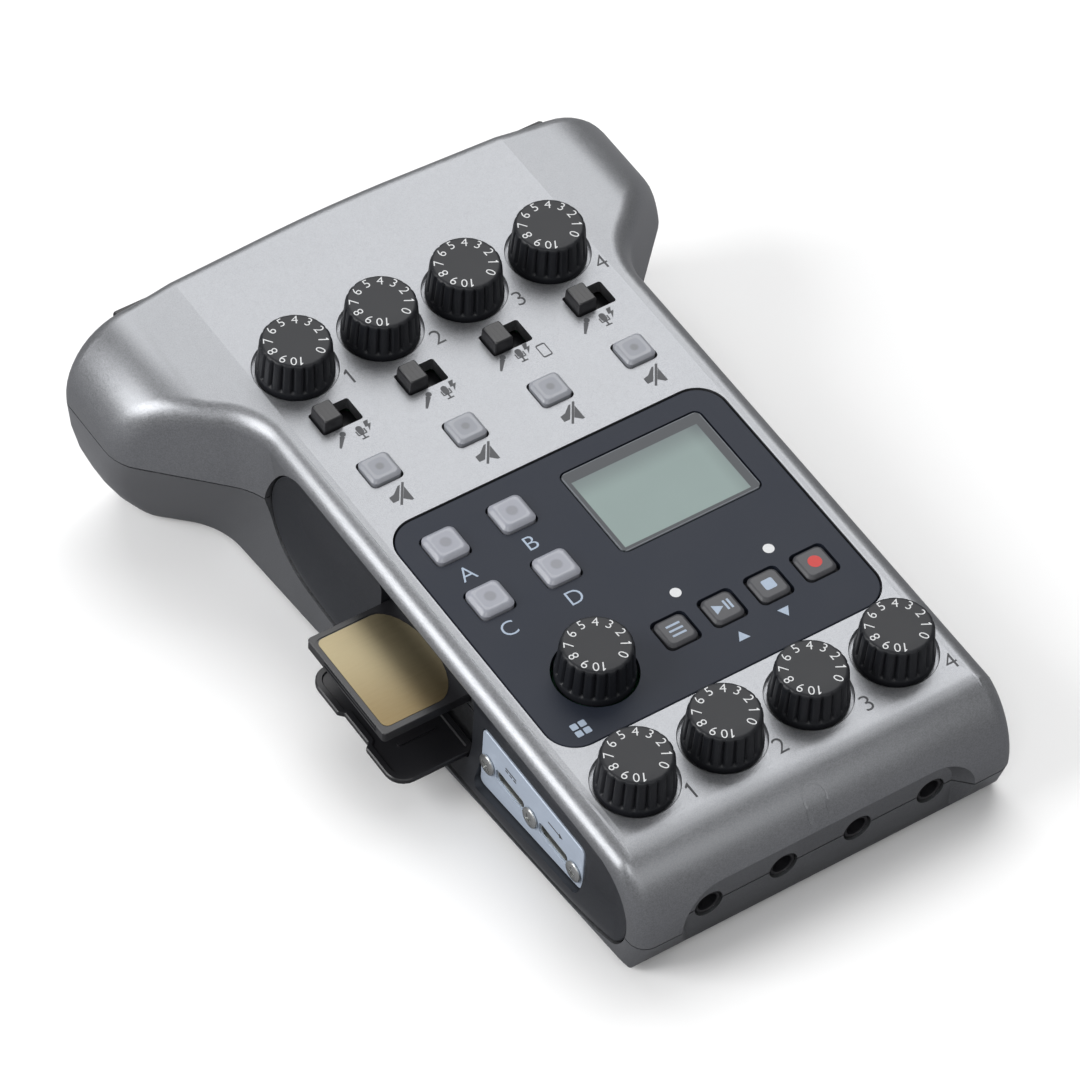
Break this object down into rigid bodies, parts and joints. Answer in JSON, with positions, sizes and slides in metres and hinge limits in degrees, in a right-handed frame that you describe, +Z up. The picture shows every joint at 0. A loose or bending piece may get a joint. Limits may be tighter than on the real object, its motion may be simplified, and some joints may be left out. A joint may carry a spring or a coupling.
{
  "type": "podcast recorder",
  "caption": "Desk audio recorder with a sloped panel of knobs, keys and a display, microphone sockets behind, headphone sockets in front, and a memory card in its side.",
  "frame": {"origin": "on the desk, under the middle of the recorder's bounding box", "axes": "+X to the user's right, +Y from the headphone sockets in front towards the microphone sockets behind, +Z up"},
  "size_m": [0.113, 0.1533, 0.0466],
  "materials": {
    "black_plastic": "black moulded plastic",
    "board_green": "circuit board",
    "dark_panel": "dark grey moulded plastic",
    "display_grey": "grey display",
    "key_grey": "grey rubber-like keys",
    "milky_plastic": "translucent milky plastic",
    "plate_metal": "pale metallic plate",
    "rubber": "black rubber",
    "silver_paint": "plastic with fine metallic silver paint, satin",
    "slate_fascia": "dark slate blue printed sheet",
    "smoked_window": "smoked clear window",
    "steel": "plated steel"
  },
  "bodies": {
    "housing": {"battery_1": "steel", "battery_2": "steel", "connector_plate": "plate_metal", "control_board": "board_green", "control_fascia": "slate_fascia", "display_window": "smoked_window", "foot_1": "rubber", "foot_2": "rubber", "foot_3": "rubber", "foot_4": "rubber", "lcd_module": "display_grey", "left_side_panel": "dark_panel", "lower_case": "silver_paint", "main_board": "board_green", "phone_jack_1": "black_plastic", "phone_jack_2": "black_plastic", "phone_jack_3": "black_plastic", "phone_jack_4": "black_plastic", "plate_screw_1": "steel", "plate_screw_2": "steel", "plate_screw_3": "steel", "right_side_panel": "dark_panel", "upper_case": "silver_paint", "xlr_socket_1": "black_plastic", "xlr_socket_2": "black_plastic", "xlr_socket_3": "black_plastic", "xlr_socket_4": "black_plastic"},
    "battery_cover": {"battery_cover": "silver_paint"},
    "card_door": {"card_door": "black_plastic"},
    "input_knob_1": {"input_knob_1": "black_plastic"},
    "input_knob_2": {"input_knob_2": "black_plastic"},
    "input_knob_3": {"input_knob_3": "black_plastic"},
    "input_knob_4": {"input_knob_4": "black_plastic"},
    "input_switch_1": {"input_switch_1": "black_plastic"},
    "input_switch_2": {"input_switch_2": "black_plastic"},
    "input_switch_3": {"input_switch_3": "black_plastic"},
    "input_switch_4": {"input_switch_4": "black_plastic"},
    "memory_card": {"memory_card": "black_plastic"},
    "menu_button": {"menu_button": "key_grey"},
    "mute_button_1": {"mute_button_1": "milky_plastic"},
    "mute_button_2": {"mute_button_2": "milky_plastic"},
    "mute_button_3": {"mute_button_3": "milky_plastic"},
    "mute_button_4": {"mute_button_4": "milky_plastic"},
    "pad_button_a": {"pad_button_a": "milky_plastic"},
    "pad_button_b": {"pad_button_b": "milky_plastic"},
    "pad_button_c": {"pad_button_c": "milky_plastic"},
    "pad_button_d": {"pad_button_d": "milky_plastic"},
    "phones_knob_1": {"phones_knob_1": "black_plastic"},
    "phones_knob_2": {"phones_knob_2": "black_plastic"},
    "phones_knob_3": {"phones_knob_3": "black_plastic"},
    "phones_knob_4": {"phones_knob_4": "black_plastic"},
    "play_button": {"play_button": "key_grey"},
    "power_switch": {"power_switch": "black_plastic"},
    "record_button": {"record_button": "key_grey"},
    "sound_pad_knob": {"sound_pad_knob": "black_plastic"},
    "stop_button": {"stop_button": "key_grey"},
    "xlr_latch_1": {"xlr_latch_1": "black_plastic"},
    "xlr_latch_2": {"xlr_latch_2": "black_plastic"},
    "xlr_latch_3": {"xlr_latch_3": "black_plastic"},
    "xlr_latch_4": {"xlr_latch_4": "black_plastic"}
  },
  "joints": [
    {"name": "battery_cover_hinge", "type": "hinge", "parent": "housing", "child": "battery_cover", "pos_m": [0, 0.01439, 0.0018], "axis": [-1, 0, 0], "range_deg": [0, 75]},
    {"name": "card_door_hinge", "type": "hinge", "parent": "housing", "child": "card_door", "pos_m": [-0.0349, -0.00879, 0.00993], "axis": [0, 0.9925, 0.1219], "range_deg": [0, 90]},
    {"name": "input_knob_1_turn", "type": "hinge", "parent": "housing", "child": "input_knob_1", "pos_m": [-0.0258, 0.04528, 0.03893], "axis": [0, -0.1219, 0.9925], "range_deg": [-180, 120]},
    {"name": "input_knob_2_turn", "type": "hinge", "parent": "housing", "child": "input_knob_2", "pos_m": [-0.0086, 0.04528, 0.03893], "axis": [0, -0.1219, 0.9925], "range_deg": [-180, 120]},
    {"name": "input_knob_3_turn", "type": "hinge", "parent": "housing", "child": "input_knob_3", "pos_m": [0.0086, 0.04528, 0.03893], "axis": [0, -0.1219, 0.9925], "range_deg": [-180, 120]},
    {"name": "input_knob_4_turn", "type": "hinge", "parent": "housing", "child": "input_knob_4", "pos_m": [0.0258, 0.04528, 0.03893], "axis": [0, -0.1219, 0.9925], "range_deg": [-180, 120]},
    {"name": "input_switch_1_slide", "type": "slide", "parent": "housing", "child": "input_switch_1", "axis": [1, 0, 0], "range_m": [0, 0.0035]},
    {"name": "input_switch_2_slide", "type": "slide", "parent": "housing", "child": "input_switch_2", "axis": [1, 0, 0], "range_m": [0, 0.0035]},
    {"name": "input_switch_3_slide", "type": "slide", "parent": "housing", "child": "input_switch_3", "axis": [1, 0, 0], "range_m": [0, 0.0035]},
    {"name": "input_switch_4_slide", "type": "slide", "parent": "housing", "child": "input_switch_4", "axis": [1, 0, 0], "range_m": [0, 0.0035]},
    {"name": "memory_card_slide", "type": "slide", "parent": "housing", "child": "memory_card", "axis": [1, 0, 0], "range_m": [0, 0.018]},
    {"name": "menu_button_press", "type": "slide", "parent": "housing", "child": "menu_button", "axis": [0, 0.1219, -0.9925], "range_m": [0, 0.0008], "stiffness_N_per_m": 1200},
    {"name": "mute_button_1_press", "type": "slide", "parent": "housing", "child": "mute_button_1", "axis": [0, 0.1219, -0.9925], "range_m": [0, 0.0008], "stiffness_N_per_m": 1200},
    {"name": "mute_button_2_press", "type": "slide", "parent": "housing", "child": "mute_button_2", "axis": [0, 0.1219, -0.9925], "range_m": [0, 0.0008], "stiffness_N_per_m": 1200},
    {"name": "mute_button_3_press", "type": "slide", "parent": "housing", "child": "mute_button_3", "axis": [0, 0.1219, -0.9925], "range_m": [0, 0.0008], "stiffness_N_per_m": 1200},
    {"name": "mute_button_4_press", "type": "slide", "parent": "housing", "child": "mute_button_4", "axis": [0, 0.1219, -0.9925], "range_m": [0, 0.0008], "stiffness_N_per_m": 1200},
    {"name": "pad_button_a_press", "type": "slide", "parent": "housing", "child": "pad_button_a", "axis": [0, 0.1219, -0.9925], "range_m": [0, 0.0008], "stiffness_N_per_m": 1200},
    {"name": "pad_button_b_press", "type": "slide", "parent": "housing", "child": "pad_button_b", "axis": [0, 0.1219, -0.9925], "range_m": [0, 0.0008], "stiffness_N_per_m": 1200},
    {"name": "pad_button_c_press", "type": "slide", "parent": "housing", "child": "pad_button_c", "axis": [0, 0.1219, -0.9925], "range_m": [0, 0.0008], "stiffness_N_per_m": 1200},
    {"name": "pad_button_d_press", "type": "slide", "parent": "housing", "child": "pad_button_d", "axis": [0, 0.1219, -0.9925], "range_m": [0, 0.0008], "stiffness_N_per_m": 1200},
    {"name": "phones_knob_1_turn", "type": "hinge", "parent": "housing", "child": "phones_knob_1", "pos_m": [-0.0258, -0.05804, 0.02625], "axis": [0, -0.1219, 0.9925], "range_deg": [-180, 120]},
    {"name": "phones_knob_2_turn", "type": "hinge", "parent": "housing", "child": "phones_knob_2", "pos_m": [-0.0086, -0.05804, 0.02625], "axis": [0, -0.1219, 0.9925], "range_deg": [-180, 120]},
    {"name": "phones_knob_3_turn", "type": "hinge", "parent": "housing", "child": "phones_knob_3", "pos_m": [0.0086, -0.05804, 0.02625], "axis": [0, -0.1219, 0.9925], "range_deg": [-180, 120]},
    {"name": "phones_knob_4_turn", "type": "hinge", "parent": "housing", "child": "phones_knob_4", "pos_m": [0.0258, -0.05804, 0.02625], "axis": [0, -0.1219, 0.9925], "range_deg": [-180, 120]},
    {"name": "play_button_press", "type": "slide", "parent": "housing", "child": "play_button", "axis": [0, 0.1219, -0.9925], "range_m": [0, 0.0008], "stiffness_N_per_m": 1200},
    {"name": "power_switch_slide", "type": "slide", "parent": "housing", "child": "power_switch", "axis": [0, -0.9925, -0.1219], "range_m": [0, 0.0041]},
    {"name": "record_button_press", "type": "slide", "parent": "housing", "child": "record_button", "axis": [0, 0.1219, -0.9925], "range_m": [0, 0.0008], "stiffness_N_per_m": 1200},
    {"name": "sound_pad_knob_turn", "type": "hinge", "parent": "housing", "child": "sound_pad_knob", "pos_m": [-0.0187, -0.03581, 0.02898], "axis": [0, -0.1219, 0.9925], "range_deg": [-180, 120]},
    {"name": "stop_button_press", "type": "slide", "parent": "housing", "child": "stop_button", "axis": [0, 0.1219, -0.9925], "range_m": [0, 0.0008], "stiffness_N_per_m": 1200},
    {"name": "xlr_latch_1_press", "type": "slide", "parent": "housing", "child": "xlr_latch_1", "axis": [0, -1, 0], "range_m": [0, 0.0012], "stiffness_N_per_m": 2500},
    {"name": "xlr_latch_2_press", "type": "slide", "parent": "housing", "child": "xlr_latch_2", "axis": [0, -1, 0], "range_m": [0, 0.0012], "stiffness_N_per_m": 2500},
    {"name": "xlr_latch_3_press", "type": "slide", "parent": "housing", "child": "xlr_latch_3", "axis": [0, -1, 0], "range_m": [0, 0.0012], "stiffness_N_per_m": 2500},
    {"name": "xlr_latch_4_press", "type": "slide", "parent": "housing", "child": "xlr_latch_4", "axis": [0, -1, 0], "range_m": [0, 0.0012], "stiffness_N_per_m": 2500}
  ],
  "couplings": [
    {"joint": "card_door_hinge", "follows": "memory_card_slide", "rad_per_m": 87.266}
  ]
}
